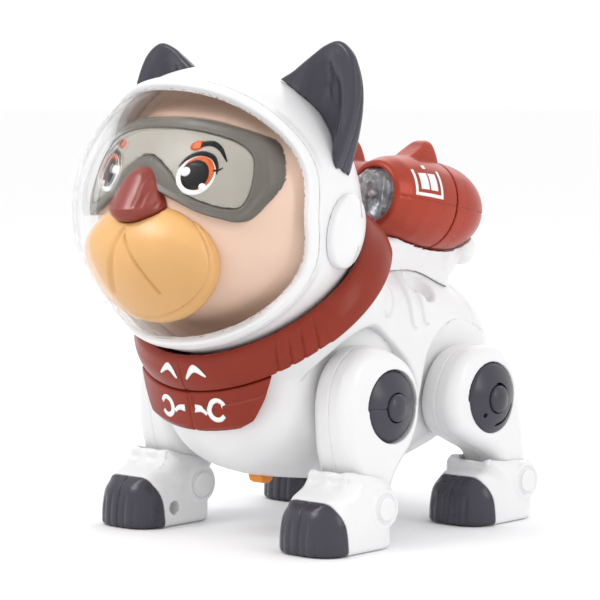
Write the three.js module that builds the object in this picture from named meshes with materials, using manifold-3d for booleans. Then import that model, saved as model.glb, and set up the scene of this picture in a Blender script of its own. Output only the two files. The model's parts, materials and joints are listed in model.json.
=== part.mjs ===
// Walking robot dog toy with a space helmet and a twin rocket pack.
// Millimetres, +Z up, the dog faces -Y and its left side is +X. The origin is under the middle of
// the whole toy, on the surface that its paws stand on.
import * as THREE from "three";
import { mergeVertices } from "three/addons/utils/BufferGeometryUtils.js";
import Module from "manifold-3d";

const wasm = await Module();
wasm.setup();

// ---------------------------------------------------------------- driving dimensions
const GAP = 0.35; // between neighbouring pieces
const WALL = 2.6; // moulded shell

// Every place below is measured from the middle of the front hips, then the finished dog is centred.
const HEAD = new THREE.Vector3(0, -51, 152.5); // centre of the helmet
const HELMET_R = 66.6;
const VISOR_X = 0.985 * HELMET_R; // half width of the visor opening
const VISOR_Z = 0.86 * HELMET_R; // half height of the visor opening
const VISOR_POWER = 2.25; // squareness of the visor opening
const RIM_WIDTH = 6;
const RIM_PROUD = 1.6;
const NECK_TILT = THREE.MathUtils.degToRad(37); // the collar and the neck lean forwards
const NECK_AXIS = new THREE.Vector3(0, -Math.sin(NECK_TILT), Math.cos(NECK_TILT));
const COLLAR_R = 64;
const COLLAR_LOW = -53.8; // height of the collar's lower edge along the neck axis
const COLLAR_HIGH = -38;
const FACE_R = 0.79 * HELMET_R;
const FACE_WALL = 2.4;
const VISOR_WALL = 2.2;
const NOSE_AT = [0, -50, 7]; // from the helmet's centre
const NOSE_RADII = [13, 11.5, 12];
const MUZZLE_AT = [0, -33, -22];
const MUZZLE_RADII = [37, 27.5, 27];

const FRONT_HIP = { y: -6, z: 63 };
const REAR_HIP = { y: 69.4, z: 60.4 };
const FRONT_ANKLE = { y: -19.7, z: 18.5 };
const REAR_ANKLE = { y: 90, z: 18.9 };
const LEG_INNER = 45; // distance of the leg's faces from the middle of the dog
const LEG_OUTER = 67;
const DISC_R = 17;
const BUTTON_R = 6.6;
const AXLE_R = 3;
const AXLE_PLAY = 0.15; // around a turning bar, inside its bore
const FRONT_PAW_X = 57.8;
const REAR_PAW_X = 54.5;
const PAW_WIDTH = 35.6;

const ROCKET_X = 21.6;
const ROCKET_R = 19.3;
const ROCKET_FRONT = new THREE.Vector3(ROCKET_X, 33, 158.5);
const ROCKET_TILT = THREE.MathUtils.degToRad(10);
const ROCKET_LENGTH = 77;
const ROCKET_SEAM = 43; // distance of the tail cap's joint from the mouth
const LAMP_R = 12.5;

// ---------------------------------------------------------------- materials
const paint = (name, color, roughness, metalness = 0) => {
  const material = new THREE.MeshStandardMaterial({ color, roughness, metalness });
  material.name = name;
  return material;
};
const WHITE = paint("white_plastic", 0xf1f1f2, 0.35);
const GREY = paint("dark_grey_plastic", 0x4b4952, 0.3);
const RED = paint("red_brown_plastic", 0x87342a, 0.3);
const PEARL = paint("pearl_red_plastic", 0xaa4b3a, 0.28, 0.3);
const SKIN = paint("face_plastic", 0xd8b9a5, 0.5);
const MUZZLE = paint("muzzle_plastic", 0xdea670, 0.45);
const NOSE = paint("nose_plastic", 0x82322a, 0.4);
const GOGGLE = paint("goggle_plastic", 0x645f58, 0.45);
const LENS = paint("lens_print", 0x96918a, 0.4);
const CLEAR = paint("clear_plastic", 0xeef4f6, 0.05);
const CHROME = paint("chrome_plastic", 0xd6d8da, 0.12, 1);
const AMBER = paint("amber_plastic", 0xe1911e, 0.4);
const BLACK = paint("black_plastic", 0x26262a, 0.5);
const STEEL = paint("steel", 0xa7abb0, 0.35, 1);
const BOARD = paint("circuit_board", 0x1f6b3c, 0.5);

// ---------------------------------------------------------------- solid helpers
function solidOf(geometry) {
  const bare = geometry.index ? geometry.toNonIndexed() : geometry.clone();
  bare.deleteAttribute("normal");
  bare.deleteAttribute("uv");
  const merged = mergeVertices(bare, 1e-4);
  const vertProperties = merged.attributes.position.array;
  const triVerts = new Uint32Array(merged.index.array);
  const build = () => new wasm.Manifold(new wasm.Mesh({ numProp: 3, vertProperties, triVerts }));
  const solid = build();
  if (solid.volume() >= 0) return solid;
  triVerts.reverse();
  return build();
}

function geometryOf(solid) {
  const mesh = solid.getMesh();
  const geometry = new THREE.BufferGeometry();
  geometry.setAttribute("position", new THREE.BufferAttribute(mesh.vertProperties, 3));
  geometry.setIndex(new THREE.BufferAttribute(mesh.triVerts, 1));
  geometry.computeVertexNormals();
  return geometry;
}

const join = (...solids) => solids.reduce((sum, next) => sum.add(next));
const cut = (solid, ...tools) => tools.reduce((rest, tool) => rest.subtract(tool), solid);

function ball(centre, radii, segments = 20) {
  const [a, b, c] = Array.isArray(radii) ? radii : [radii, radii, radii];
  const geometry = new THREE.SphereGeometry(1, segments, segments / 2);
  return solidOf(geometry.scale(a, b, c).translate(...centre));
}

function block(low, high) {
  const size = high.map((value, i) => value - low[i]);
  const middle = high.map((value, i) => (value + low[i]) / 2);
  return solidOf(new THREE.BoxGeometry(...size).translate(...middle));
}

// A frame whose local +Y is the given direction and whose origin is the given point.
function alongAxis(direction, origin) {
  const turn = new THREE.Quaternion().setFromUnitVectors(
    new THREE.Vector3(0, 1, 0),
    direction.clone().normalize(),
  );
  return new THREE.Matrix4().compose(origin, turn, new THREE.Vector3(1, 1, 1));
}

// A turned solid: profile points are [radius, height along the axis].
function turned(profile, direction, origin, segments = 20) {
  const points = profile.map(([radius, height]) => new THREE.Vector2(radius, height));
  const geometry = new THREE.LatheGeometry(points, segments);
  return solidOf(geometry.applyMatrix4(alongAxis(direction, origin)));
}

const X_AXIS = new THREE.Vector3(1, 0, 0);

// A round bar along X, from x0 to x1.
function barX(x0, x1, y, z, radius, segments = 16) {
  const profile = [[0, x0], [radius, x0], [radius, x1], [0, x1]];
  return turned(profile, X_AXIS, new THREE.Vector3(0, y, z), segments);
}

// A closed smooth outline through [u, v] points.
function smoothShape(points, divisions) {
  const curve = new THREE.CatmullRomCurve3(
    points.map(([u, v]) => new THREE.Vector3(u, v, 0)),
    true,
    "centripetal",
  );
  const outline = curve.getPoints(divisions).slice(0, -1);
  return new THREE.Shape(outline.map((p) => new THREE.Vector2(p.x, p.y)));
}

// The same outline with every corner moved inwards; the outline runs clockwise.
function insetShape(shape, distance) {
  const points = shape.getPoints();
  const count = points.length;
  return new THREE.Shape(
    points.map((point, i) => {
      const along = points[(i + 1) % count].clone().sub(points[(i + count - 1) % count]);
      return new THREE.Vector2(along.y, -along.x).normalize().multiplyScalar(distance).add(point);
    }),
  );
}

// An outline in Y and Z, extruded along X, with rounded edges that stay inside the outline.
function slabX(shape, x0, x1, rounding = 0, steps = 2) {
  const geometry = new THREE.ExtrudeGeometry(shape, {
    depth: x1 - x0 - 2 * rounding,
    bevelEnabled: rounding > 0,
    bevelThickness: rounding,
    bevelSize: rounding,
    bevelOffset: -rounding,
    bevelSegments: steps,
  });
  geometry.translate(0, 0, x0 + rounding);
  const turn = new THREE.Matrix4().makeBasis(
    new THREE.Vector3(0, 1, 0),
    new THREE.Vector3(0, 0, 1),
    new THREE.Vector3(1, 0, 0),
  );
  return solidOf(geometry.applyMatrix4(turn));
}

// An outline in X and Z, extruded along Y, between y0 and y1.
function slabY(shape, y0, y1) {
  const geometry = new THREE.ExtrudeGeometry(shape, { depth: y1 - y0, bevelEnabled: false });
  const turn = new THREE.Matrix4().makeBasis(
    new THREE.Vector3(1, 0, 0),
    new THREE.Vector3(0, 0, 1),
    new THREE.Vector3(0, -1, 0),
  );
  return solidOf(geometry.applyMatrix4(turn).translate(0, y1, 0));
}

// A closed skin through rings that have the same number of points, with a flat fan on each end.
function loft(rings) {
  const count = rings[0].length;
  const corners = rings.flat();
  const faces = [];
  for (let i = 0; i + 1 < rings.length; i++) {
    for (let j = 0; j < count; j++) {
      const k = (j + 1) % count;
      const [a, b] = [i * count + j, i * count + k];
      faces.push(a, b, b + count, a, b + count, a + count);
    }
  }
  for (const [ring, first] of [[0, true], [rings.length - 1, false]]) {
    const hub = corners.length;
    const middle = new THREE.Vector3();
    rings[ring].forEach((p) => middle.add(p));
    corners.push(middle.divideScalar(count));
    for (let j = 0; j < count; j++) {
      const [a, b] = [ring * count + j, ring * count + ((j + 1) % count)];
      faces.push(...(first ? [hub, b, a] : [hub, a, b]));
    }
  }
  const geometry = new THREE.BufferGeometry().setFromPoints(corners);
  geometry.setIndex(faces);
  return solidOf(geometry);
}

const mirrored = (solid) => solid.mirror([1, 0, 0]);

// ---------------------------------------------------------------- the assembly
const dog = new THREE.Group();
dog.name = "robot_dog_toy";

function add(name, solid, material) {
  const mesh = new THREE.Mesh(geometryOf(solid), material);
  mesh.name = name;
  dog.add(mesh);
}

function addPair(name, solid, material) {
  add(name + "_left", solid, material);
  add(name + "_right", mirrored(solid), material);
}

// ---------------------------------------------------------------- helmet, visor and ears
const headPoint = (x, y, z) => [HEAD.x + x, HEAD.y + y, HEAD.z + z];
const onNeck = (height) => HEAD.clone().addScaledVector(NECK_AXIS, height);
const HEAD_SEGMENTS = 24;
const headBall = (radius) => ball(HEAD.toArray(), radius, HEAD_SEGMENTS);
const headTurned = (profile, segments) => turned(profile, NECK_AXIS, HEAD, segments);

// A squared ellipse in X and Z around the helmet's centre, grown by a margin.
function visorShape(margin, count = 24) {
  const outline = [];
  for (let i = 0; i < count; i++) {
    const angle = (i / count) * 2 * Math.PI;
    const [c, s] = [Math.cos(angle), Math.sin(angle)];
    const bend = (value) => Math.sign(value) * Math.abs(value) ** (2 / VISOR_POWER);
    const x = (VISOR_X + margin) * bend(c);
    outline.push(new THREE.Vector2(HEAD.x + x, HEAD.z + (VISOR_Z + margin) * bend(s)));
  }
  return new THREE.Shape(outline);
}
const visorPrism = (margin) => slabY(visorShape(margin), HEAD.y - 90, HEAD.y - 4);

const helmetInner = HELMET_R - WALL;
const skull = cut(headBall(HELMET_R), headBall(helmetInner));
const neckHole = headTurned([[0, -80], [30, -80], [30, -40], [0, -40]], 16);
add("helmet_shell", cut(skull, visorPrism(RIM_WIDTH + GAP), neckHole), WHITE);

const rimBand = cut(headBall(HELMET_R + RIM_PROUD), headBall(helmetInner));
const rimWithin = rimBand.intersect(visorPrism(RIM_WIDTH));
add("helmet_rim", cut(rimWithin, visorPrism(0)), WHITE);

const dome = cut(headBall(HELMET_R - 0.2), headBall(HELMET_R - 0.2 - VISOR_WALL));
add("visor", dome.intersect(visorPrism(-GAP)), CLEAR);

function earSolid() {
  const outline = smoothShape(
    [[25, 58], [32, 64.8], [42.5, 72], [49, 75.8], [55.7, 77.4], [61.6, 75], [66.4, 68.8], [69.9, 57],
      [69.6, 44.3], [66.2, 31], [61.9, 21.8], [56, 14.5], [40, 40]],
    20,
  );
  const blade = slabY(outline, 14, 31).translate(HEAD.toArray());
  const hollow = ball(headPoint(56, 6, 44), [17, 15, 34], 14);
  return cut(blade, hollow, headBall(HELMET_R + 0.5));
}
addPair("ear", earSolid(), GREY);

const HELMET_DISC_AT = new THREE.Vector3(63.6, 18, -8).normalize();
const discFoot = Math.sqrt((HELMET_R + GAP) ** 2 - DISC_R ** 2);
addPair(
  "helmet_disc",
  turned(
    [[0, HELMET_R + GAP], [DISC_R, discFoot], [DISC_R, discFoot + 2.6], [12, HELMET_R + 2.8],
      [0, HELMET_R + 3.6]],
    HELMET_DISC_AT,
    HEAD,
    16,
  ).subtract(headBall(HELMET_R + 0.25)),
  WHITE,
);

add(
  "neck_post",
  headTurned([[0, -72], [12, -72], [12, -51], [36, -51], [36, -48], [0, -48]], 20),
  BLACK,
);

// ---------------------------------------------------------------- face behind the visor
const frontOnly = block(headPoint(-70, -70, -70), headPoint(70, 2, 70));
const faceBowl = cut(headBall(FACE_R), headBall(FACE_R - FACE_WALL)).intersect(frontOnly);
add("face_shell", faceBowl, SKIN);

const at = (points) => points.map(([x, z]) => [HEAD.x + x, HEAD.z + z]);
// The right half of each outline, from the top down to the bridge; the left half mirrors it.
const bothHalves = (half) => {
  const sides = half.slice(1, -1);
  const other = sides.map(([x, z]) => [-x, z]).reverse();
  return at([half[0], ...sides, half[half.length - 1], ...other]);
};
const GOGGLE_OUTLINE = bothHalves([
  [0, 43.6], [14, 43], [27, 40], [41, 34.5], [48, 27], [51.5, 14], [50, 3], [43, -2.1], [36, -0.8],
  [28.5, 2.2], [16, 8], [0, 14],
]);
const LENS_OUTLINE = bothHalves([
  [0, 38.6], [14, 38], [27, 35.5], [37, 31.5], [44, 25], [46.5, 14], [44.5, 5.2], [39.5, 3.4],
  [30.2, 6], [22.6, 10], [14.9, 18.5], [6, 24.8], [0, 26.4],
]);
const gogglePrism = slabY(smoothShape(GOGGLE_OUTLINE, 30), HEAD.y - 70, HEAD.y - 5);
const lensPrism = slabY(smoothShape(LENS_OUTLINE, 30), HEAD.y - 70, HEAD.y - 5);
const faceSkin = headBall(FACE_R + 0.6);
const frameBand = cut(headBall(FACE_R + 3.4), faceSkin).intersect(gogglePrism);

const grown = (radii, margin) => radii.map((radius) => radius + margin);
const noseBall = ball(headPoint(...NOSE_AT), NOSE_RADII, 14).intersect(
  block(headPoint(-14, -66, -4.5), headPoint(14, -36, 20)),
);
const noseRoom = ball(headPoint(...NOSE_AT), grown(NOSE_RADII, 0.5), 14);
const muzzleBall = ball(headPoint(...MUZZLE_AT), MUZZLE_RADII);
const muzzleRoom = ball(headPoint(...MUZZLE_AT), grown(MUZZLE_RADII, 0.6));
add("goggles_frame", cut(frameBand, lensPrism, noseRoom, muzzleRoom), GOGGLE);
const lensBand = cut(headBall(FACE_R + 2.4), faceSkin);
const lensInner = slabY(insetShape(smoothShape(LENS_OUTLINE, 30), GAP), HEAD.y - 70, HEAD.y - 5);
add("goggles_lens", cut(lensBand.intersect(lensInner), noseRoom), LENS);
const visorRoom = headBall(HELMET_R - VISOR_WALL - 0.9);
add("nose", cut(noseBall.intersect(visorRoom), faceSkin), NOSE);
add("muzzle", cut(muzzleBall.intersect(visorRoom), faceSkin, noseRoom), MUZZLE);

// ---------------------------------------------------------------- collar and chest plate
const rocketAxis = new THREE.Vector3(0, Math.cos(ROCKET_TILT), -Math.sin(ROCKET_TILT));
const rocketTurned = (profile, segments = 20) =>
  turned(profile, rocketAxis, ROCKET_FRONT, segments);
// Space kept free around the left rocket.
const rocketRoom = rocketTurned([
  [0, -8], [16.2, -8], [18.6, 8], [ROCKET_R + 0.6, 18], [ROCKET_R + 0.7, ROCKET_SEAM], [19, 53],
  [16.4, 63], [12, 71.5], [0, 79],
]);

add(
  "collar_ring",
  headTurned(
    [[55.5, COLLAR_LOW], [COLLAR_R, COLLAR_LOW], [COLLAR_R + 1.2, -50], [COLLAR_R + 0.4, -44],
      [61, COLLAR_HIGH - 1], [58.5, COLLAR_HIGH], [56.8, COLLAR_HIGH - 1.5], [55.5, -43],
      [55.5, COLLAR_LOW]],
    28,
  ).subtract(headBall(HELMET_R + 1)).subtract(rocketRoom).subtract(mirrored(rocketRoom)),
  RED,
);

// ---------------------------------------------------------------- body
// Cross sections: [y, middle z, half width, half height].
const BODY_SECTIONS = [
  [-63, 66, 14, 9], [-57, 66, 27, 18], [-46, 66, 38, 29], [-25, 67, 47, 40], [10, 68, 52, 46],
  [45, 70, 53, 47], [72, 74, 51, 43.5], [90, 78, 43, 35], [102, 80, 28, 23], [108, 81, 11, 9],
];
const BODY_POINTS = 20;

function bodySolid(inset) {
  const rings = BODY_SECTIONS.map(([y, z, halfWidth, halfHeight], i) => {
    const ring = [];
    const last = BODY_SECTIONS.length - 1;
    const ends = i === 0 ? inset : i === last ? -inset : 0;
    for (let j = 0; j < BODY_POINTS; j++) {
      const angle = (j / BODY_POINTS) * 2 * Math.PI;
      const x = (halfWidth - inset) * Math.sin(angle);
      ring.push(new THREE.Vector3(x, y + ends, z + (halfHeight - inset) * Math.cos(angle)));
    }
    return ring;
  });
  return loft(rings);
}

const NECK_TOP = COLLAR_LOW - GAP;
const neckCone = (inset) =>
  headTurned([[0, -92], [46 - inset, -92], [61 - inset, NECK_TOP], [0, NECK_TOP]], 24);
const aboveCollar = (depth) =>
  join(
    headTurned([[0, NECK_TOP - depth], [90, NECK_TOP - depth], [90, 80], [0, 80]], 24),
    headBall(HELMET_R + 1.2 + depth),
  );
const bodyOuter = cut(join(bodySolid(0), neckCone(0)), aboveCollar(0));
const neckInner = headTurned(
  [[0, -90], [46 - WALL, -90], [61 - WALL, NECK_TOP - WALL], [0, NECK_TOP - WALL]],
  24,
);
const bodyInner = cut(join(bodySolid(WALL), neckInner), aboveCollar(WALL));
const neckBore = headTurned([[0, -80], [12.8, -80], [12.8, -50], [0, -50]], 16);

// Room that each leg swings through, beside the body.
const LEG_ROOM_X = LEG_INNER - 1.2;
const LEG_ROOM_R = 36;
function legRoom(hip, front, back) {
  return join(
    barX(LEG_ROOM_X, 90, hip.y, hip.z, LEG_ROOM_R, 24),
    block([LEG_ROOM_X, hip.y + front, -1], [90, hip.y + back, hip.z]),
  );
}
const legRooms = [legRoom(FRONT_HIP, -45, 30), legRoom(REAR_HIP, -32, 40)];
const axleHoles = [FRONT_HIP, REAR_HIP].map((hip) =>
  barX(-90, 90, hip.y, hip.z, AXLE_R + AXLE_PLAY, 12),
);

const DOOR = { x: 19, y0: -4, y1: 58 };
const doorOpening = block([-DOOR.x, DOOR.y0, 0], [DOOR.x, DOOR.y1, 40]);
const doorBlank = block([-DOOR.x + GAP, DOOR.y0 + GAP, 0], [DOOR.x - GAP, DOOR.y1 - GAP, 40]);

const SWITCH = { y: -21.5, halfX: 4.2, halfY: 4.5, travel: 4 };
const switchSlot = block(
  [-SWITCH.halfX - 0.6, SWITCH.y - SWITCH.halfY - 0.8, 10],
  [SWITCH.halfX + 0.6, SWITCH.y + SWITCH.halfY + SWITCH.travel + 0.8, 40],
);

const rightLegRooms = legRooms.map(mirrored);
const legRecess = join(...legRooms, ...rightLegRooms);
const bodyCut = cut(bodyOuter, legRecess);
// The wall behind each leg recess: the hollow is cut back by the same recess, one wall deeper.
const recessBacking = join(
  ...[FRONT_HIP, REAR_HIP].map((hip) =>
    join(
      barX(LEG_ROOM_X - WALL, 95, hip.y, hip.z, LEG_ROOM_R + WALL, 24),
      block([LEG_ROOM_X - WALL, hip.y - 45 - WALL, -2], [95, hip.y + 40 + WALL, hip.z]),
    ),
  ),
);
const bodyHollow = cut(bodyInner, recessBacking, mirrored(recessBacking));
const bodySkin = cut(bodyCut, bodyHollow);

// Chest plate: a skin lifted off the front of the body, bounded by a bib outline.
const BIB_OUTLINE = [
  [-41, 92], [41, 92], [40, 70], [30, 60], [14, 53], [-14, 53], [-30, 60], [-40, 70],
];
const bibPrism = slabY(new THREE.Shape(BIB_OUTLINE.map(([x, z]) => new THREE.Vector2(x, z))), -90, -20);
// Cross sections of the plate's outer face: [z, front y, half width, depth].
const BIB_SECTIONS = [
  [52, -63, 33, 40], [60, -68, 40, 46], [75, -73.5, 45, 52], [88, -76.5, 47, 56],
];
function bibSolid(inset) {
  const rings = BIB_SECTIONS.map(([z, front, halfWidth, depth]) => {
    const ring = [];
    for (let j = 0; j < BODY_POINTS; j++) {
      const angle = (j / BODY_POINTS) * 2 * Math.PI;
      const x = (halfWidth - inset) * Math.sin(angle);
      ring.push(new THREE.Vector3(x, front + depth - (depth - inset) * Math.cos(angle), z));
    }
    return ring;
  });
  return loft(rings);
}
const belowCollar = headTurned([[0, -140], [90, -140], [90, NECK_TOP - 0.2], [0, NECK_TOP - 0.2]], 24);
const bodyRoom = join(bodyOuter, bodySolid(-GAP), neckCone(-GAP));
const chestPlate = cut(bibSolid(0), bodyRoom).intersect(bibPrism).intersect(belowCollar);
const frontHalf = block([-80, -100, 0], [80, -24, 200]);
add("chest_plate", chestPlate.intersect(frontHalf), RED);

const leftHalf = block([GAP / 2, -200, -10], [100, 200, 250]);
const bodyPieces = cut(bodySkin, doorOpening, switchSlot, neckBore, ...axleHoles);
const biggest = (solid) =>
  solid.decompose().reduce((best, next) => (next.volume() > best.volume() ? next : best));
addPair("body_shell", biggest(bodyPieces.intersect(leftHalf)), WHITE);
add("battery_door", biggest(cut(bodyOuter, bodyInner).intersect(doorBlank)), WHITE);

const knobShape = new THREE.Shape();
knobShape.absarc(SWITCH.y, 27, SWITCH.halfY, Math.PI, 2 * Math.PI, false);
knobShape.lineTo(SWITCH.y + SWITCH.halfY, 33);
knobShape.lineTo(SWITCH.y - SWITCH.halfY, 33);
add("power_switch_knob", slabX(knobShape, -SWITCH.halfX, SWITCH.halfX), AMBER);

// ---------------------------------------------------------------- inside the body
add("battery_pack", block([-16, 0, 32.5], [16, 54, 48.5]), GREY);
add("gearbox_case", block([-26, 8, 50], [26, 56, 76]).subtract(axleHoles[1]), BLACK);
const Y_AXIS = new THREE.Vector3(0, 1, 0);
add(
  "drive_motor",
  turned([[0, 0], [10, 0], [10, 25], [0, 25]], Y_AXIS, new THREE.Vector3(0, 28, 88), 20),
  STEEL,
);
add("control_board", block([-30, 14, 78], [-14, 60, 79.6]), BOARD);
add(
  "speaker",
  turned([[0, 0], [14, 0], [14, 3], [8, 8], [0, 8]], new THREE.Vector3(0, -1, 0),
    new THREE.Vector3(0, -32, 56), 20),
  BLACK,
);
add("front_axle", barX(-61, 61, FRONT_HIP.y, FRONT_HIP.z, AXLE_R, 12), STEEL);
add("rear_axle", barX(-61, 61, REAR_HIP.y, REAR_HIP.z, AXLE_R, 12), STEEL);

// ---------------------------------------------------------------- legs
const FRONT_LEG = [
  [-14, 91.5], [-29, 87], [-37, 76], [-39.5, 60], [-39.5, 42], [-35, 24], [-28, 12], [-17, 7.5],
  [-7, 11], [2, 20], [12, 33], [20, 46], [23.5, 60], [18, 76], [6, 87],
];
const REAR_LEG = [
  [68, 86], [54, 82.5], [45, 72], [43.5, 58], [50, 44], [66, 32], [76, 14], [88, 7.5], [99, 14],
  [101, 28], [98, 44], [96, 58], [93, 72], [83, 83],
];
const FRONT_PAW = [
  [-51, 0], [-52.5, 8], [-49.5, 18], [-42, 23], [-34, 27], [-18, 31.5], [-3, 29], [4, 22],
  [3, 12], [-3, 0],
];
const REAR_PAW = [
  [59, 0], [57.5, 8], [60.5, 17], [68, 23], [76, 27.5], [90, 32], [102, 29.5], [108, 21], [108, 10],
  [104, 0],
];

// A paw's outline is smooth but for its flat sole.
function pawShape(points) {
  const curve = new THREE.CatmullRomCurve3(points.map(([y, z]) => new THREE.Vector3(y, z, 0)));
  const outline = curve.getPoints(14).map((p) => new THREE.Vector2(p.x, Math.max(p.y, 0)));
  return new THREE.Shape(outline);
}

const TOE_BACK = 10; // depth of the toe cap at the sole
const TOE_LEAN = 0.3; // how far the toe cap's back edge leans backwards as it rises

function toeSide(front, offset) {
  const y = front + TOE_BACK + offset;
  const shape = new THREE.Shape();
  shape.moveTo(front - 20, -5);
  shape.lineTo(y - TOE_LEAN * 5, -5);
  shape.lineTo(y + TOE_LEAN * 45, 45);
  shape.lineTo(front - 20, 45);
  return slabX(shape, -100, 100);
}

function buildLeg(tag, hip, ankle, legOutline, pawOutline, pawX) {
  const inner = pawX - PAW_WIDTH / 2;
  const outer = pawX + PAW_WIDTH / 2;
  const legBlank = slabX(smoothShape(legOutline, 20), LEG_INNER, LEG_OUTER, 5, 1);
  const swing = barX(LEG_INNER - 5, LEG_OUTER + 5, ankle.y, ankle.z, 12);
  // Below the cuff the leg is a round knuckle inside the paw.
  const cuffHeight = 35.5;
  const upper = legBlank.intersect(block([0, -100, cuffHeight], [100, 200, 200]));
  const shank = legBlank.intersect(block([LEG_INNER + 2, -100, ankle.z], [LEG_OUTER - 2, 200, 60]));
  const shankNarrow = shank.intersect(
    block([0, ankle.y - 11, 0], [100, ankle.y + 11, 100]),
  );
  const knuckle = swing.intersect(block([LEG_INNER + 2, -100, 0], [LEG_OUTER - 2, 200, 60]));
  const seat = barX(LEG_OUTER - 3, LEG_OUTER + 5, hip.y, hip.z, DISC_R + GAP, 20);
  const bore = barX(0, 61.6, hip.y, hip.z, AXLE_R + AXLE_PLAY, 12);
  const ankleBore = barX(0, 100, ankle.y, ankle.z, AXLE_R + AXLE_PLAY, 12);
  const leg = cut(join(upper, shankNarrow, knuckle), seat, bore, ankleBore);
  add("leg_shell_" + tag, leg, WHITE);

  const face = LEG_OUTER - 3 + GAP;
  const origin = new THREE.Vector3(0, hip.y, hip.z);
  const rimProfile = [
    [BUTTON_R + GAP, face], [DISC_R, face], [DISC_R, face + 3.5], [DISC_R - 2.5, face + 5.6],
    [BUTTON_R + GAP, face + 6.6], [BUTTON_R + GAP, face],
  ];
  add("leg_disc_" + tag, turned(rimProfile, X_AXIS, origin, 20), GREY);
  const buttonProfile = [
    [0, face], [BUTTON_R, face], [BUTTON_R, face + 6.8], [BUTTON_R - 2, face + 8.2], [0, face + 8.8],
  ];
  add("leg_button_" + tag, turned(buttonProfile, X_AXIS, origin, 12), GREY);

  const pawBlank = slabX(pawShape(pawOutline), inner, outer, 4, 1);
  const slot = join(
    barX(LEG_INNER + 1.4, LEG_OUTER - 1.4, ankle.y, ankle.z, 13),
    block([LEG_INNER + 1.4, ankle.y - 21, ankle.z], [LEG_OUTER - 1.4, ankle.y + 21, 60]),
  );
  const front = pawOutline[0][0];
  const paw = cut(pawBlank, slot, ankleBore, toeSide(front, GAP));
  add("paw_shell_" + tag, paw, WHITE);
  add("toe_cap_" + tag, pawBlank.intersect(toeSide(front, 0)), GREY);
  const pinOuter = outer + 1;
  add("ankle_pin_" + tag, barX(inner - 0.6, pinOuter, ankle.y, ankle.z, AXLE_R, 12), WHITE);
}

function mirrorLeg(from, to) {
  for (const piece of ["leg_shell", "leg_disc", "leg_button", "paw_shell", "toe_cap", "ankle_pin"]) {
    const source = dog.getObjectByName(piece + "_" + from);
    add(piece + "_" + to, mirrored(solidOf(source.geometry)), source.material);
  }
}

buildLeg("fl", FRONT_HIP, FRONT_ANKLE, FRONT_LEG, FRONT_PAW, FRONT_PAW_X);
buildLeg("rl", REAR_HIP, REAR_ANKLE, REAR_LEG, REAR_PAW, REAR_PAW_X);
mirrorLeg("fl", "fr");
mirrorLeg("rl", "rr");

// ---------------------------------------------------------------- rocket pack
const SEAM_HALF = GAP / 2;
const shellBack = ROCKET_SEAM - SEAM_HALF;
const capFront = ROCKET_SEAM + SEAM_HALF;

const fuselage = rocketTurned([
  [0, 9], [LAMP_R + 0.8, 9], [LAMP_R + 0.8, 0], [15.5, 0], [18, 8], [ROCKET_R, 18],
  [ROCKET_R + 0.2, 30], [ROCKET_R - 0.3, shellBack], [0, shellBack],
]);
const finShape = smoothShape(
  [[52, 172], [60, 176.5], [70, 182], [76, 182], [80, 177], [82, 168], [66, 165]],
  16,
);
const fin = slabX(finShape, ROCKET_X - 7, ROCKET_X + 7).intersect(
  ball([ROCKET_X, 69, 166], [7, 19, 16.5], 24),
);
const behindSeam = rocketTurned([[0, capFront], [50, capFront], [50, 90], [0, 90]]);
addPair("rocket_shell", join(fuselage, cut(fin, behindSeam)), PEARL);
addPair(
  "rocket_cap",
  rocketTurned([
    [0, capFront], [ROCKET_R - 0.3, capFront], [18, 53], [15.2, 63], [11, 70.5], [6, 75],
    [0, ROCKET_LENGTH],
  ]).subtract(slabX(finShape, ROCKET_X - 8, ROCKET_X + 8)),
  PEARL,
);
addPair(
  "lamp_reflector",
  rocketTurned([[0, 8.6], [LAMP_R + 0.4, 8.6], [LAMP_R + 0.4, 3], [LAMP_R - 0.4, 3], [4, 7.6], [0, 7.6]]),
  CHROME,
);
addPair(
  "lamp_lens",
  rocketTurned([[0, 2.6], [LAMP_R, 2.6], [LAMP_R, 0], [LAMP_R - 3, -4], [5, -6], [0, -6.4]], 16),
  CLEAR,
);

const BRACKET_HALF = 31;
const bracketShape = smoothShape(
  [[30, 104], [29, 126], [34, 138], [50, 139], [70, 136], [86, 134], [90, 127], [86, 114], [84, 104]],
  20,
);
const lobe = ball([27, 92, 129.5], [8, 8.5, 8], 12);
const bracketBlank = join(slabX(bracketShape, -BRACKET_HALF, BRACKET_HALF, 4, 1), lobe, mirrored(lobe));
const collarRoom = headTurned(
  [[0, NECK_TOP - 5], [COLLAR_R + 2, NECK_TOP - 5], [COLLAR_R + 2, -30], [0, -30]], 24);
add(
  "jet_bracket",
  biggest(cut(bracketBlank, rocketRoom, mirrored(rocketRoom), bodyRoom, collarRoom)),
  WHITE,
);

// The dog stands centred on the origin.
const bounds = new THREE.Box3().setFromObject(dog);
const middle = bounds.getCenter(new THREE.Vector3());
dog.position.set(-middle.x, -middle.y, -bounds.min.z);

export default dog;
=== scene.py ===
import functools
import json
import math

import bpy
import numpy as np
import openvdb
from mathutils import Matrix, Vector
from mathutils.geometry import delaunay_2d_cdt


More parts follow.
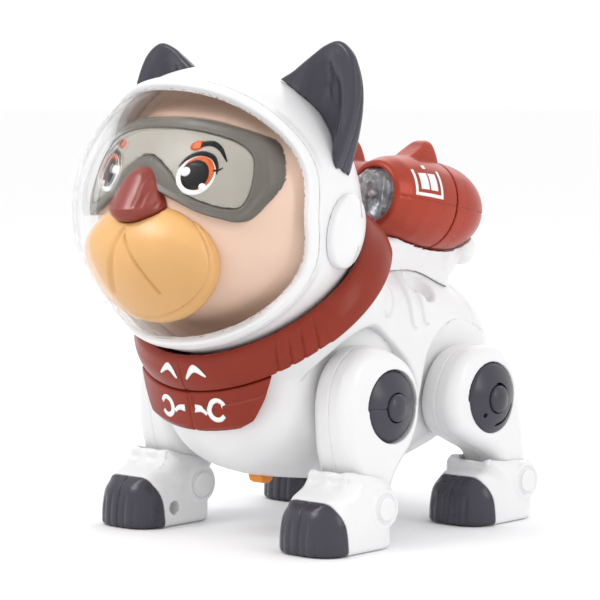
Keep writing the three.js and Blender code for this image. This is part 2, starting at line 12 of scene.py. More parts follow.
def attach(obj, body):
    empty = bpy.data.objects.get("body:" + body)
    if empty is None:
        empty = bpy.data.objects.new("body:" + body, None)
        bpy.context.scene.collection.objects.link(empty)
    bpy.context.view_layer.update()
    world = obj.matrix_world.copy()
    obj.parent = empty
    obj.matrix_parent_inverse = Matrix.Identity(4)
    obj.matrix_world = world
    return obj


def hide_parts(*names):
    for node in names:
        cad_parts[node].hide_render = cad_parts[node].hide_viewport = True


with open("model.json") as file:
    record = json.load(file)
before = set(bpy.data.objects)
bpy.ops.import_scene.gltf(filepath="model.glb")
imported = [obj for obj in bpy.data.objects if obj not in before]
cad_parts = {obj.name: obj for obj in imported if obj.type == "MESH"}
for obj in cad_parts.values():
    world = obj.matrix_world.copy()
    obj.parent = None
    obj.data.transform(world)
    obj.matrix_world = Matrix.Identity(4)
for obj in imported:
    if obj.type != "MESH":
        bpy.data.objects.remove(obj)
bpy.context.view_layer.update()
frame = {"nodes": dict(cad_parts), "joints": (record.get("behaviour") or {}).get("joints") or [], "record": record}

# Lengths below are millimetres: x runs to the dog's left, y to the rear and z up from the floor, and the
# front hips lie at y = FRONT_HIP_Y. MM and SHIFT take them to the frame.
MM = 0.001
FRONT_HIP_Y = -6.0
joints = {joint["name"]: np.array(joint["pos_m"]) / MM for joint in frame["joints"] if "pos_m" in joint}
SHIFT = np.array([0.0, joints["leg_swing_fl"][1] - FRONT_HIP_Y, 0.0])
HEAD = joints["head_turn"] - SHIFT
FRONT_HIP = joints["leg_swing_fl"] - SHIFT
REAR_HIP = joints["leg_swing_rl"] - SHIFT
FRONT_ANKLE = joints["ankle_fl"] - SHIFT
REAR_ANKLE = joints["ankle_rl"] - SHIFT
SWING = math.radians(8)
HOLE_R, LEG_HOLE_R = 3.3, 3.2  # room for the axles and the ankle pins


# ------------------------ distance fields
def hyp(*parts):
    return np.sqrt(sum(part * part for part in parts))


def most(*fields):
    """The part inside all of them, with sharp edges."""
    return functools.reduce(np.maximum, fields)


def least(*fields):
    """All of them together, with sharp edges."""
    return functools.reduce(np.minimum, fields)


def ramp(value, start, end):
    """Rises softly from 0 at start to 1 at end."""
    t = np.clip((value - start) / (end - start), 0, 1)
    return t * t * (3 - 2 * t)


def bump(value, width):
    """1 where the value is 0, fading over the width to both sides."""
    return np.exp(-((value / width) ** 2))


def meet(a, b, radius):
    """The part inside both, with a rounded edge."""
    return least(most(a, b), -radius) + hyp(most(a + radius, 0), most(b + radius, 0))


def blend(a, b, width):
    """Both together, with a soft fillet."""
    share = np.clip(0.5 + 0.5 * (b - a) / width, 0, 1)
    return b + (a - b) * share - width * share * (1 - share)


def carve(a, b, radius):
    """a without b, with a rounded edge."""
    return meet(a, -b, radius)


def smooth_line(points, closed=True, steps=5):
    """Catmull-Rom points through the given ones."""
    points = np.array(points, float)
    count = len(points)
    spans = count if closed else count - 1
    found = []
    for i in range(spans):
        ids = [i - 1, i, i + 1, i + 2]
        ids = [k % count for k in ids] if closed else [min(max(k, 0), count - 1) for k in ids]
        a, b, c, d = points[ids]
        for t in np.arange(steps) / steps:
            square, cube = (2 * a - 5 * b + 4 * c - d) * t**2, (3 * b - a - 3 * c + d) * t**3
            found.append(0.5 * (2 * b + (c - a) * t + square + cube))
    if not closed:
        found.append(points[-1])
    return np.array(found)


def line_distance(points, u, v):
    """Distance in the plane to an open line."""
    best = np.full(np.broadcast(u, v).shape, 1e9)
    for (au, av), (bu, bv) in zip(points[:-1], points[1:]):
        eu, ev = bu - au, bv - av
        t = np.clip(((u - au) * eu + (v - av) * ev) / (eu * eu + ev * ev), 0, 1)
        best = least(best, (u - au - eu * t) ** 2 + (v - av - ev * t) ** 2)
    return np.sqrt(best)


def outline(points, u, v):
    """Signed distance in the plane to a closed line, negative inside."""
    points = np.asarray(points, float)
    inside = np.zeros(np.broadcast(u, v).shape, bool)
    for (au, av), (bu, bv) in zip(np.roll(points, 1, axis=0), points):
        if av == bv:
            continue
        crosses = (av > v) != (bv > v)
        inside ^= crosses & (u < (bu - au) * (v - av) / (bv - av) + au)
    distance = line_distance(np.vstack([points, points[:1]]), u, v)
    return np.where(inside, -distance, distance)


def gradient(field, points, step=0.05):
    """The field's slope at points, by central differences."""
    slopes = []
    for axis in range(3):
        move = np.zeros(3)
        move[axis] = step
        slopes.append((field(*(points + move).T) - field(*(points - move).T)) / (2 * step))
    return np.stack(slopes, axis=1)


def mesh_field(field, low, high, step):
    """Corners, faces and normals of the surface where the field is zero."""
    low, high = np.array(low, float) - 2 * step, np.array(high, float) + 2 * step
    counts = np.ceil((high - low) / step).astype(int) + 1
    x, y, z = (low[i] + step * np.arange(counts[i]) for i in range(3))
    values = field(x[:, None, None], y[None, :, None], z[None, None, :])
    band = 3 * step
    values = np.clip(np.broadcast_to(values, counts), -band, band).astype(np.float32)
    grid = openvdb.FloatGrid(background=band)
    grid.copyFromArray(np.ascontiguousarray(values))
    corners, triangles, quads = grid.convertToPolygons(isovalue=0.0, adaptivity=0.0)
    corners = low + np.asarray(corners, float) * step
    for _ in range(2):
        slope = gradient(field, corners)
        size = most((slope**2).sum(1), 0.05)
        move = field(*corners.T) / size
        move = np.clip(move, -0.6 * step, 0.6 * step)
        corners = corners - slope * move[:, None]
    slope = gradient(field, corners)
    normals = slope / most(np.linalg.norm(slope, axis=1), 1e-9)[:, None]
    faces = [list(map(int, quad)) for quad in quads] + [list(map(int, tri)) for tri in triangles]
    first = np.array([face[:3] for face in faces])
    a, b, c = corners[first[:, 0]], corners[first[:, 1]], corners[first[:, 2]]
    facing = (np.cross(b - a, c - a) * normals[first[:, 0]]).sum()
    if facing < 0:
        faces = [face[::-1] for face in faces]
    return corners, faces, normals


# ------------------------ materials
NOISE_LOW, NOISE_HIGH = 0.3, 0.7  # most of a noise texture lies between these
ROUGH_LOW, ROUGH_HIGH = 0.92, 1.08
FLAKE_SCALE, FLAKE_GAIN = 2600, 1.9
RELIEF = 0.0002
CLEAR_IN_SIGHT = 0.3  # how much of clear plastic is plain see-through, other than for shadows


def material(name, color, roughness, metallic=0.0, patch=0.03, patch_scale=60.0, grain=0.02,
             grain_scale=260.0, ridges=0.0, transmission=0.0, flakes=0.0, gloss=0.5, ior=1.04):
    """A plastic or metal with broad patches of tone (on the chrome, strong enough to be painted reflections) and,
    where asked, grain, flakes or turning marks.
    """
    made = bpy.data.materials.new(name)
    made.use_nodes = True
    nodes, links = made.node_tree.nodes, made.node_tree.links
    shader = nodes["Principled BSDF"]
    place = nodes.new("ShaderNodeTexCoord")

    def noise(scale, detail):
        node = nodes.new("ShaderNodeTexNoise")
        node.inputs["Scale"].default_value = scale
        node.inputs["Detail"].default_value = detail
        links.new(place.outputs["Object"], node.inputs["Vector"])
        return node

    def spread(source, low, high):
        node = nodes.new("ShaderNodeMapRange")
        node.inputs["From Min"].default_value = NOISE_LOW
        node.inputs["From Max"].default_value = NOISE_HIGH
        node.inputs["To Min"].default_value = low
        node.inputs["To Max"].default_value = high
        links.new(source, node.inputs["Value"])
        return node.outputs["Result"]

    broad = noise(patch_scale, 4)
    tone = nodes.new("ShaderNodeMix")
    tone.data_type = "RGBA"
    tone.inputs["A"].default_value = (*[channel * (1 - patch) for channel in color], 1)
    tone.inputs["B"].default_value = (*[min(channel * (1 + patch), 1) for channel in color], 1)
    links.new(spread(broad.outputs["Fac"], 0, 1), tone.inputs["Factor"])
    result = tone.outputs["Result"]
    if flakes:
        cells = nodes.new("ShaderNodeTexVoronoi")
        cells.inputs["Scale"].default_value = FLAKE_SCALE
        links.new(place.outputs["Object"], cells.inputs["Vector"])
        glitter = nodes.new("ShaderNodeMix")
        glitter.data_type = "RGBA"
        glitter.inputs["B"].default_value = (*[min(channel * FLAKE_GAIN, 1) for channel in color], 1)
        links.new(result, glitter.inputs["A"])
        links.new(spread(cells.outputs["Color"], 0, flakes), glitter.inputs["Factor"])
        result = glitter.outputs["Result"]
    links.new(result, shader.inputs["Base Color"])
    rough = spread(broad.outputs["Fac"], roughness * ROUGH_LOW, min(roughness * ROUGH_HIGH, 1))
    links.new(rough, shader.inputs["Roughness"])
    shader.inputs["Metallic"].default_value = metallic
    shader.inputs["Specular IOR Level"].default_value = gloss
    if grain:
        height = noise(grain_scale, 2)
        if ridges:
            height = nodes.new("ShaderNodeTexWave")
            height.inputs["Scale"].default_value = ridges
            height.inputs["Distortion"].default_value = 0.4
            links.new(place.outputs["Object"], height.inputs["Vector"])
        relief = nodes.new("ShaderNodeBump")
        relief.inputs["Strength"].default_value = grain
        relief.inputs["Distance"].default_value = RELIEF
        links.new(height.outputs["Fac"], relief.inputs["Height"])
        links.new(relief.outputs["Normal"], shader.inputs["Normal"])
    if transmission:
        shader.inputs["Transmission Weight"].default_value = transmission
        shader.inputs["IOR"].default_value = ior
        clear = nodes.new("ShaderNodeBsdfTransparent")
        path = nodes.new("ShaderNodeLightPath")
        mix = nodes.new("ShaderNodeMixShader")
        share = nodes.new("ShaderNodeMapRange")
        share.inputs["To Min"].default_value = CLEAR_IN_SIGHT
        links.new(path.outputs["Is Shadow Ray"], share.inputs["Value"])
        links.new(share.outputs["Result"], mix.inputs[0])
        links.new(shader.outputs["BSDF"], mix.inputs[1])
        links.new(clear.outputs["BSDF"], mix.inputs[2])
        links.new(mix.outputs["Shader"], nodes["Material Output"].inputs["Surface"])
    return made


SLOTS = {
    "white_plastic": dict(color=(0.77, 0.77, 0.775), roughness=0.3, patch=0.012, grain=0.0),
    "dark_grey_plastic": dict(color=(0.041, 0.038, 0.053), roughness=0.26, patch=0.05, grain=0.01, gloss=0.4),
    "red_brown_plastic": dict(color=(0.235, 0.026, 0.012), roughness=0.3, patch=0.04, grain=0.01, gloss=0.22),
    "pearl_red_plastic": dict(color=(0.34, 0.044, 0.024), roughness=0.3, metallic=0.25,
                              patch=0.04, grain=0.01, gloss=0.28, flakes=0.15),
    "face_plastic": dict(color=(0.74, 0.53, 0.41), roughness=0.45, patch=0.03, grain=0.02, gloss=0.35),
    "muzzle_plastic": dict(color=(0.69, 0.385, 0.14), roughness=0.36, patch=0.03, grain=0.02, gloss=0.45),
    "nose_plastic": dict(color=(0.23, 0.033, 0.022), roughness=0.3, patch=0.04, grain=0.02, gloss=0.45),
    "goggle_plastic": dict(color=(0.125, 0.116, 0.098), roughness=0.4, patch=0.05, grain=0.02, gloss=0.35),
    "lens_print": dict(color=(0.34, 0.318, 0.275), roughness=0.38, patch=0.03, grain=0.02, gloss=0.35),
    "clear_plastic": dict(color=(0.985, 0.985, 0.99), roughness=0.03, patch=0.0, grain=0.0, transmission=1.0),
    # Painted reflection: on the chrome the broad patches swing the base colour between dark and light, standing
    # for the surroundings mirrored in it.
    "chrome_plastic": dict(color=(0.42, 0.43, 0.45), roughness=0.12, metallic=1.0,
                           patch=0.85, patch_scale=260, grain=0.02),
    "amber_plastic": dict(color=(0.8, 0.27, 0.02), roughness=0.4, patch=0.05, grain=0.02),
    "black_plastic": dict(color=(0.018, 0.018, 0.02), roughness=0.5, patch=0.15, grain=0.2, grain_scale=500),
    "steel": dict(color=(0.42, 0.43, 0.45), roughness=0.32, metallic=1.0, patch=0.06, grain=0.3, ridges=900),
    "circuit_board": dict(color=(0.01, 0.13, 0.045), roughness=0.4, patch=0.35, patch_scale=260, grain=0.3),
}
LOOKS = {name: material(name, **values) for name, values in SLOTS.items()}
LAMP_GLASS = material("lamp_glass", (0.98, 0.985, 0.99), 0.03, patch=0.0, grain=0.0, transmission=1.0,
                      ior=1.4)
PRINT_WHITE = material("print_white", (0.86, 0.86, 0.85), 0.4, patch=0.02)
PRINT_BLACK = material("print_black", (0.008, 0.007, 0.007), 0.3, patch=0.1, gloss=0.25)
PRINT_IRIS = material("print_iris", (0.6, 0.1, 0.015), 0.35, patch=0.2, patch_scale=400, gloss=0.3)


# ------------------------ pieces
def place(name, corners, faces, normals, body, slot, replaces, look=None):
    mesh = bpy.data.meshes.new("fine_" + name)
    mesh.from_pydata(((corners + SHIFT) * MM).tolist(), [], faces)
    mesh.validate()
    mesh.shade_smooth()
    if normals is not None:
        mesh.normals_split_custom_set_from_vertices(normals.tolist())
    mesh.materials.append(look or LOOKS[slot])
    piece = bpy.data.objects.new("fine_" + name, mesh)
    bpy.context.scene.collection.objects.link(piece)
    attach(piece, body)
    if replaces:
        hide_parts(*replaces)
    return piece


def mirror(corners, faces, normals):
    turn = np.array([-1.0, 1.0, 1.0])
    return corners * turn, [face[::-1] for face in faces], None if normals is None else normals * turn


def single(name, field, low, high, step, body, slot):
    place(name, *mesh_field(field, low, high, step), body, slot, [name])


SEAM_GAP = 0.02


def cut_at_middle(corners, faces, normals):
    """Brings what reaches over the middle plane back to it, so that the two halves meet in a fine seam."""
    corners[:, 0] = most(corners[:, 0], SEAM_GAP)
    return corners, faces, normals


def pair(name, field, low, high, step, bodies, slot, tags=("left", "right"), look=None, seam=False):
    """A left piece and its mirror image on the right; seam says that the two meet over the middle plane."""
    made = mesh_field(field, low, high, step)
    if seam:
        made = cut_at_middle(*made)
    place(f"{name}_{tags[0]}", *made, bodies[0], slot, [f"{name}_{tags[0]}"], look)
    place(f"{name}_{tags[1]}", *mirror(*made), bodies[1], slot, [f"{name}_{tags[1]}"], look)


# ------------------------ head
R = 66.6
WALL = 2.6
OPEN_X, OPEN_Z, OPEN_POWER = 0.985, 0.86, 2.25  # half width and height of the visor opening, as shares of R
NECK = np.array([0.0, -math.sin(math.radians(37)), math.cos(math.radians(37))])
DOWN_FRONT = np.array([0.0, -NECK[2], NECK[1]])
FACE = 0.79 * R
FLAT_X, FLAT_Y = 0.86, 1.1
LENS_R = FACE + 2.2


def from_axle(y, z, axle):
    """Distance beside an axle or pin that runs across the toy."""
    return hyp(y - axle[1], z - axle[2])


def box_about(axle, x_low, x_high, reach):
    return [x_low, axle[1] - reach, axle[2] - reach], [x_high, axle[1] + reach, axle[2] + reach]


def from_head(x, y, z):
    return x - HEAD[0], y - HEAD[1], z - HEAD[2]


def in_head(field):
    """Takes a field written about the middle of the head to the toy's own measure."""
    return lambda *point: field(*from_head(*point))


def opening(x, y, z):
    """Distance over the helmet's surface from the visor opening's edge, negative inside the opening."""
    across, up = x, z + 0.005 * R
    size = most(hyp(across, up), 1e-6)
    wide, high = np.abs(across / size / OPEN_X) ** OPEN_POWER, np.abs(up / size / OPEN_Z) ** OPEN_POWER
    reach = (wide + high) ** (-1 / OPEN_POWER)
    return R * (np.arctan2(size, -y) - np.arcsin(reach))


def lip(edge):
    return 1.7 * (1 - ramp(edge, 4.0, 12.5)) - 0.35 * bump(edge - 6.1, 0.5)


def helmet_skin(x, y, z, edge):
    return hyp(x, y, z) - R - lip(edge)


@in_head
def helmet_field(x, y, z):
    edge = opening(x, y, z)
    skin = helmet_skin(x, y, z, edge)
    shell = most(skin, R - WALL - hyp(x, y, z))
    shell = meet(shell, 6.2 - edge, 0.3)
    height = y * NECK[1] + z * NECK[2]
    beside = hyp(x, y * NECK[2] - z * NECK[1])
    return most(shell, -most(beside - 30, height + 40))


@in_head
def rim_field(x, y, z):
    edge = opening(x, y, z)
    band = meet(helmet_skin(x, y, z, edge), -edge, 1.3)
    return most(band, edge - 6.0, R - WALL - hyp(x, y, z))


@in_head
def visor_field(x, y, z):
    edge = opening(x, y, z)
    r = hyp(x, y, z)
    return meet(most(r - (R - 0.3), (R - 2.2) - r), edge + 0.7, 0.4)


def around_head(low, high):
    return HEAD + np.array(low, float), HEAD + np.array(high, float)


single("helmet_shell", helmet_field, *around_head([-69, -30, -69], [69, 69, 69]), 1.25, "head",
       "white_plastic")
single("helmet_rim", rim_field, *around_head([-69, -64, -69], [69, 12, 69]), 0.72, "head", "white_plastic")
single("visor", visor_field, *around_head([-67, -67, -60], [67, -6, 60]), 1.1, "head", "clear_plastic")

EAR_OUTLINE = smooth_line([
    (22, 57), (31.5, 64.5), (42.5, 72), (48.5, 75.6), (55.7, 77.6), (61.6, 75), (66.4, 68.8), (69.7, 57),
    (69.4, 44.3), (66.4, 31), (63.2, 21.5), (59.5, 12.5), (54.5, 8), (46, 16), (36, 40)])


@in_head
def ear_field(x, y, z):
    lean = y - 0.16 * (z - 45)
    shape = outline(EAR_OUTLINE, x, z)
    front = 14.0 - lean
    back = lean - (29.0 - 0.16 * (z - 20))
    blade = meet(meet(shape, back, 5.0), front, 1.8)
    crease = line_distance([(55.5, 70), (54.5, 59), (51, 42), (48.6, 26)], x, z)
    inner = hyp((x - 50) / 1.15, (z - 44) / 2.6, (lean - 10.5) / 0.85) - 11.5
    blade = carve(blade, inner, 2.0)
    blade = blade - 0.8 * bump(crease, 3.6) * (1 - ramp(lean, 20, 24))
    seam = np.abs(lean - 19.5)
    blade = blade + 0.3 * bump(seam, 0.5)
    return most(blade, (R + 0.4) - hyp(x, y, z))


pair("ear", ear_field, *around_head([20, 4, 6], [73, 36, 80]), 0.75, ("head", "head"), "dark_grey_plastic")

DISC_AXIS = np.array([63.6, 18.0, -8.0])
DISC_AXIS = DISC_AXIS / np.linalg.norm(DISC_AXIS)
DISC_BACK = np.array([-DISC_AXIS[1], DISC_AXIS[0], 0.0]) / math.hypot(DISC_AXIS[0], DISC_AXIS[1])
DISC_UP = np.cross(DISC_AXIS, DISC_BACK)


@in_head
def disc_field(x, y, z):
    u = x * DISC_BACK[0] + y * DISC_BACK[1]
    v = x * DISC_UP[0] + y * DISC_UP[1] + z * DISC_UP[2]
    r = hyp(x, y, z)
    beside = hyp(u, v)
    dome = r - (R + 4.4 - 1.0 * (beside / 17) ** 2)
    body = meet(dome, beside - 17, 1.3)
    slit = most(np.abs(u - 6.5) - 0.9, np.abs(np.abs(v) - 11.0) - 4.5)
    body = most(body, -most(slit, R + 2.0 - r))
    toward = x * DISC_AXIS[0] + y * DISC_AXIS[1] + z * DISC_AXIS[2]
    return most(body, R + 0.1 - r, -toward)


middle = HEAD + DISC_AXIS * (R + 1)
pair("helmet_disc", disc_field, middle - [9, 19, 19], middle + [7, 19, 19], 0.55, ("head", "head"),
     "white_plastic")


def face_radius(x, y, z):
    """The face is flatter in front and wider than a ball."""
    return hyp(FLAT_X * x, FLAT_Y * y, z)


@in_head
def face_field(x, y, z):
    r = hyp(x, y, z)
    inward = face_radius(x, y, z)
    ball = most(inward - FACE, (FACE - 2.2) - inward)
    ball = meet(ball, y + 2.0, 0.6)
    # Painted shade: a flange in the face's colour reaches from the face's rim out to the helmet's inner wall,
    # standing where only the helmet's white inside in shade would show.
    shade_flange = most(r - (R - WALL - 0.6), (FACE - 1.5) - inward, np.abs(y + 3.5) - 1.1)
    return most(blend(ball, shade_flange, 9.0), r - (R - WALL - 0.4))


single("face_shell", face_field, *around_head([-64, -55, -64], [64, -1, 64]), 1.2, "head", "face_plastic")


def both_halves(half):
    half = list(half)
    return half + [(-x, z) for x, z in half[-2:0:-1]]


GOGGLES = smooth_line(both_halves([
    (0, 43.6), (15, 43), (29, 40.4), (44.5, 34.5), (51.2, 27.5), (56, 15), (53, 4.5), (47.5, -2.1),
    (39.5, -0.8), (30, 2.2), (17, 8), (0, 14)]))
LENS = smooth_line(both_halves([
    (0, 38.6), (15, 38), (28.5, 35.7), (39.5, 31.8), (46.8, 25), (49.3, 14), (47.5, 5.2), (42.5, 3.4),
    (32, 6), (23.4, 10), (15.2, 18.5), (6, 24.8), (0, 26.4)]))
MUZZLE_AT, MUZZLE_R = (0, -43, -21.5), (38.5, 20, 28)


def ellipsoid(x, y, z, at, radii):
    scaled = hyp((x - at[0]) / radii[0], (y - at[1]) / radii[1], (z - at[2]) / radii[2])
    slope = hyp((x - at[0]) / radii[0] ** 2, (y - at[1]) / radii[1] ** 2, (z - at[2]) / radii[2] ** 2)
    return (scaled - 1) * scaled / most(slope, 1e-3)


@in_head
def goggles_field(x, y, z):
    r = face_radius(x, y, z)
    within = outline(GOGGLES, x, z)
    hole = outline(LENS, x, z)
    band = meet(within, -hole, 1.0)
    top = r - (FACE + 3.9 - 0.9 * ramp(-within, 0, 3.2))
    shape = meet(band, top, 1.2)
    return most(shape, FACE + 0.2 - r, y + 6)


@in_head
def lens_field(x, y, z):
    r = face_radius(x, y, z)
    shape = meet(outline(LENS, x, z) + 0.3, r - LENS_R, 0.4)
    return most(shape, FACE + 0.2 - r, y + 6)


single("goggles_frame", goggles_field, *around_head([-58, -58, -6], [58, -4, 46]), 0.56, "head",
       "goggle_plastic")
single("goggles_lens", lens_field, *around_head([-52, -56, 0], [52, -6, 40]), 0.9, "head", "lens_print")

NOSE_OUTLINE = smooth_line(both_halves([
    (0, 21.6), (4.6, 20.6), (8.4, 16), (11.4, 10.5), (14, 5.8), (14, 2), (10.5, -0.4), (5, -2.5), (0, -3)]))


@in_head
def nose_field(x, y, z):
    front = -62.6 + 0.035 * x * x + 0.64 * most(z - 3, 0) + 0.3 * most(-z, 0)
    flute = 0.5 * np.cos((np.abs(x) - 2.0) * 2 * math.pi / 3.6) * ramp(np.abs(x), 5, 7) * ramp(z, 3, 6)
    shape = meet(outline(NOSE_OUTLINE, x, z), 0.85 * (front + flute - y), 3.5)
    return most(shape, FACE + 0.2 - face_radius(x, y, z))


MOUTH = smooth_line([(0, -6), (2, -10), (6.5, -18.5), (11, -27), (14.5, -34)], closed=False)


@in_head
def muzzle_field(x, y, z):
    ball = ellipsoid(x, y, z, MUZZLE_AT, MUZZLE_R)
    ball = meet(ball, hyp(x, y, z) - (R - 2.6), 2.5)
    mouth = line_distance(MOUTH, np.abs(x), z)
    front = ramp(-y, 40, 46)
    ball = ball + 1.4 * bump(mouth, np.where(x < 0, 1.7, 0.7)) * front
    seam = np.abs(y + 44)
    ball = ball + 0.8 * bump(seam, 0.6)
    nose_room = outline(NOSE_OUTLINE, x, z) - 0.3
    ball = most(ball, -most(nose_room, y + 46))
    return most(ball, FACE + 0.2 - face_radius(x, y, z))


single("nose", nose_field, *around_head([-16, -64, -6], [16, -40, 23]), 0.45, "head", "nose_plastic")
single("muzzle", muzzle_field, *around_head([-41, -66, -52], [41, -22, 9]), 0.8, "head", "muzzle_plastic")


# ------------------------ printed marks
def patch(name, points, onto, body, slot, look, spacing=1.2, thick=0.12):
    """A printed mark: a closed line in u and v, filled, and laid on the surface given by onto(u, v, lift)."""
    points = np.array(points, float)
    low, high = points.min(0), points.max(0)
    u, v = np.meshgrid(np.arange(low[0], high[0], spacing), np.arange(low[1], high[1], spacing))
    inner = np.stack([u.ravel(), v.ravel()], 1)
    inner = inner[outline(points, inner[:, 0], inner[:, 1]) < -0.45 * spacing]
    everything = [Vector(p) for p in np.vstack([points, inner])]
    count = len(points)
    edges = [(i, (i + 1) % count) for i in range(count)]
    flat, _, faces, *_ = delaunay_2d_cdt(everything, edges, [list(range(count))], 1, 1e-5)
    flat = np.array([tuple(p) for p in flat])
    top = onto(flat[:, 0], flat[:, 1], thick)
    bottom = onto(flat[:, 0], flat[:, 1], 0.0)
    faces = [tuple(face) for face in faces]
    a, b, c = top[faces[0][0]], top[faces[0][1]], top[faces[0][2]]
    outward = top[faces[0][0]] - bottom[faces[0][0]]
    if np.dot(np.cross(b - a, c - a), outward) < 0:
        faces = [face[::-1] for face in faces]
    n = len(flat)
    sides = {}
    for face in faces:
        for i, j in zip(face, face[1:] + face[:1]):
            sides[(i, j)] = sides.get((i, j), 0) + 1
    rims = [(i, j) for i, j in sides if (j, i) not in sides]
    solid = list(faces) + [tuple(n + i for i in face[::-1]) for face in faces]
    solid += [(j, i, n + i, n + j) for i, j in rims]
    return place(name, np.vstack([top, bottom]), solid, None, body, slot, [], look)


def on_lens(u, v, lift):
    r = LENS_R + 0.02 + lift
    return HEAD + np.stack([u, -np.sqrt(most(r * r - (FLAT_X * u) ** 2 - v * v, 1)) / FLAT_Y, v], 1)


def oval(cu, cv, ru, rv, tilt=0.0, count=28, start=0.0, end=360.0):
    angles = np.radians(np.linspace(start, end, count, endpoint=False))
    u, v = ru * np.cos(angles), rv * np.sin(angles)
    c, s = math.cos(math.radians(tilt)), math.sin(math.radians(tilt))
    return np.stack([cu + c * u - s * v, cv + s * u + c * v], 1)


def stroke(points, widths):
    """A closed line around a curve that is as wide as each width says."""
    line = smooth_line(points, False, 6)
    t = np.linspace(0, 1, len(line))
    half = np.interp(t, np.linspace(0, 1, len(widths)), widths) / 2
    along = np.gradient(line, axis=0)
    along /= np.linalg.norm(along, axis=1)[:, None]
    side = np.stack([-along[:, 1], along[:, 0]], 1) * half[:, None]
    return np.vstack([line + side, (line - side)[::-1]])


def flip(points, sign):
    points = np.array(points, float) * [sign, 1]
    return points if sign > 0 else points[::-1]


LID = stroke([(18.6, 21.6), (21.4, 25.4), (26.4, 27.6), (32, 26.2), (35.2, 22.2), (36.0, 18.6)],
             [0.4, 1.7, 2.1, 1.7, 1.0, 0.3])
LASH = stroke([(34.4, 20.2), (36.2, 20.4), (37.6, 21.4)], [1.0, 0.7, 0.2])
BROW = stroke([(25.0, 31.4), (29.5, 31.9), (34, 29.4), (38.3, 24.0)], [2.6, 2.3, 1.5, 0.3])

# Each eye is printed in layers: white, iris, pupil, highlights, lid and lash, with a brow above.
for tag, sign in (("left", 1), ("right", -1)):
    layers = [
        ("eye_white", oval(26.9, 17.9, 8.6, 8.6, 20), PRINT_WHITE, 0.10),
        ("eye_iris", oval(27.6, 18.9, 7.2, 7.4, 20), PRINT_IRIS, 0.16),
        ("eye_pupil", oval(26.7, 18.2, 6.2, 6.6, 20), PRINT_BLACK, 0.22),
        ("eye_shine_big", oval(22.3, 19.6, 2.2, 2.0), PRINT_WHITE, 0.28),
        ("eye_shine_small", oval(31.3, 12.9, 1.5, 1.8, 30), PRINT_WHITE, 0.28),
        ("eye_lid", LID, PRINT_BLACK, 0.28),
        ("eye_lash", LASH, PRINT_BLACK, 0.34),
        ("brow_dot", oval(23.6, 31.0, 3.0, 2.2, 10), PRINT_IRIS, 0.10),
        ("brow_line", BROW, PRINT_BLACK, 0.16),
    ]
    for name, points, look, thick in layers:
        patch(f"{name}_{tag}", flip(points, sign), on_lens, "head", "lens_print", look, 1.6, thick)

# ------------------------ collar and chest plate
COLLAR = smooth_line([
    (46, -53.8), (58, -53.8), (64.4, -53.8), (65.4, -51), (64.8, -46), (62.6, -41.5), (60, -38.4),
    (57.6, -37.6), (53, -37.6), (48, -42), (46, -50)], True, 4)


@in_head
def neck_frame(x, y, z):
    """Radius, height and angle from straight ahead, about the neck axis."""
    height = y * NECK[1] + z * NECK[2]
    forward = y * DOWN_FRONT[1] + z * DOWN_FRONT[2]
    return hyp(x, forward), height, np.arctan2(x, forward)


ROCKET_X = 23.2
ROCKET_AT = np.array([ROCKET_X, 31.0, 158.5])
ROCKET_AXIS = np.array([0.0, math.cos(math.radians(10)), -math.sin(math.radians(10))])
ROCKET_H = np.array([-0.5, 0.0, 8, 18, 30, 43, 53, 63, 70.5, 75, 77.0])
ROCKET_RADII = np.array([15.4, 16, 19.4, 21.4, 22.1, 21.8, 21.2, 17.4, 12.6, 7, 0.0])


def rocket_frame(x, y, z):
    """Radius, height along the rocket and the sideways and upward parts, for the left rocket."""
    dx, dy, dz = x - ROCKET_X, y - ROCKET_AT[1], z - ROCKET_AT[2]
    height = dy * ROCKET_AXIS[1] + dz * ROCKET_AXIS[2]
    up = dz * ROCKET_AXIS[1] - dy * ROCKET_AXIS[2]
    return hyp(dx, up), height, dx, up


ROCKET_FINE = np.linspace(-6, 83, 180)
ROCKET_PROFILE = np.interp(ROCKET_FINE, ROCKET_H, ROCKET_RADII)
for _ in range(12):
    ROCKET_PROFILE[1:-1] = (ROCKET_PROFILE[:-2] + 2 * ROCKET_PROFILE[1:-1] + ROCKET_PROFILE[2:]) / 4


TAIL_FROM, TAIL_LENGTH, TAIL_R = 46, 29.6, 21.6


def rocket_skin(x, y, z):
    radius, height, _, _ = rocket_frame(x, y, z)
    tail = hyp(most(height - TAIL_FROM, 0) / TAIL_LENGTH * TAIL_R, radius) - TAIL_R
    nose = radius - np.interp(height, ROCKET_FINE, ROCKET_PROFILE)
    return np.where(height > TAIL_FROM, tail, nose)


ARC_R = 64  # marks, ribs and the chest plate's outline are placed by arc length at this radius
COLLAR_RIBS = (-71, -63.5, -57, -50, 50, 57, 63.5, 71)


def collar_field(x, y, z):
    radius, height, angle = neck_frame(x, y, z)
    ring = outline(COLLAR, radius, height)
    arc = angle * ARC_R
    for at in COLLAR_RIBS:
        slant = arc - at - 0.35 * np.sign(at) * (height + 46)
        ring = ring + 0.8 * bump(slant, 0.55) * ramp(radius, 60, 62)
    ring = ring + 0.54 * (1 - ramp(np.abs(arc), 74.5, 76)) * ramp(radius, 60.5, 63)
    ring = ring + 0.5 * bump(arc, 0.5) * ramp(radius, 60, 62)
    ring = most(ring, -(rocket_skin(np.abs(x), y, z) - 0.8))
    return most(ring, R + 2.0 - hyp(*from_head(x, y, z)))


single("collar_ring", collar_field, *around_head([-68, -58, -90], [68, 60, 22]), 0.8, "body",
       "red_brown_plastic")

# ------------------------ body
SECTION_Y = np.array([-63.5, -60.5, -54.5, -45, -25, 10, 45, 72, 90, 102, 109, 113, 115.0])
SECTION_Z = np.array([60, 60, 61, 64, 67, 68, 70, 74, 79, 81, 82, 82, 82.0])
SECTION_W = np.array([0, 15, 29, 39, 47, 52, 53, 51, 47, 38, 26, 13, 0.0])
SECTION_H = np.array([0, 11, 21, 31, 40, 46, 47, 44.5, 39, 31, 21, 10, 0.0])
BODY_Y = np.linspace(-70, 116, 400)


